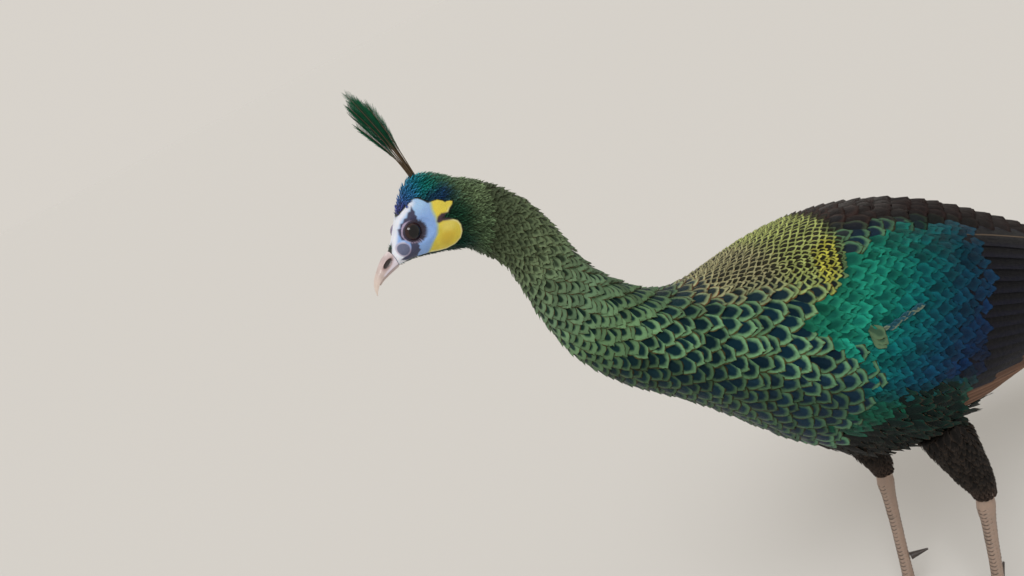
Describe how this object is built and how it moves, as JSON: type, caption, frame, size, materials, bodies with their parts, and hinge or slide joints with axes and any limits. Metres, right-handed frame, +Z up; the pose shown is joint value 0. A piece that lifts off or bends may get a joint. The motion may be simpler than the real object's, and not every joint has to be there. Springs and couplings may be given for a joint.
{
  "type": "green peafowl cock model",
  "caption": "Life-size still model of a green peafowl cock that stands with its head turned and its closed train laid out behind.",
  "frame": {"origin": "on the floor, under the middle of the bird's bounding box", "axes": "+Z up, -Y the way the bird faces, +Y towards the end of its train, +X its left side"},
  "size_m": [0.2262, 1.9438, 0.8566],
  "materials": {
    "face_skin": "bare pale-blue skin, matt",
    "horn": "pale pinkish horn",
    "eye": "wet dark brown",
    "crest_feather": "dark green vanes",
    "neck_feather": "scaled green, silky sheen",
    "breast_feather": "scaled green, silky sheen",
    "body_feather": "dark bronze and green",
    "wing_covert": "teal to blue gloss",
    "wing_secondary": "violet black",
    "wing_primary": "cinnamon",
    "thigh_feather": "blackish brown",
    "leg_scale": "grey scutes",
    "claw": "dark horn",
    "train_feather": "bronze green, loose barbs",
    "tail_feather": "dark brown"
  },
  "bodies": {
    "root": {"bill_lower": "horn", "bill_upper": "horn", "breast": "breast_feather", "claw_hind_left": "claw", "claw_hind_right": "claw", "claw_inner_left": "claw", "claw_inner_right": "claw", "claw_middle_left": "claw", "claw_middle_right": "claw", "claw_outer_left": "claw", "claw_outer_right": "claw", "crest": "crest_feather", "eye_left": "eye", "eye_right": "eye", "foot_left": "leg_scale", "foot_right": "leg_scale", "head": "face_skin", "neck_lower": "neck_feather", "neck_middle": "neck_feather", "neck_upper": "neck_feather", "rump": "body_feather", "shank_left": "leg_scale", "shank_right": "leg_scale", "spur_left": "claw", "spur_right": "claw", "tail": "tail_feather", "thigh_left": "thigh_feather", "thigh_right": "thigh_feather", "toe_hind_left": "leg_scale", "toe_hind_right": "leg_scale", "toe_inner_left": "leg_scale", "toe_inner_right": "leg_scale", "toe_middle_left": "leg_scale", "toe_middle_right": "leg_scale", "toe_outer_left": "leg_scale", "toe_outer_right": "leg_scale", "train_end": "train_feather", "train_front": "train_feather", "train_middle": "train_feather", "train_root": "train_feather", "trunk": "body_feather", "wing_left_coverts": "wing_covert", "wing_left_primaries": "wing_primary", "wing_left_secondaries": "wing_secondary", "wing_right_coverts": "wing_covert", "wing_right_primaries": "wing_primary", "wing_right_secondaries": "wing_secondary"}
  },
  "joints": []
}
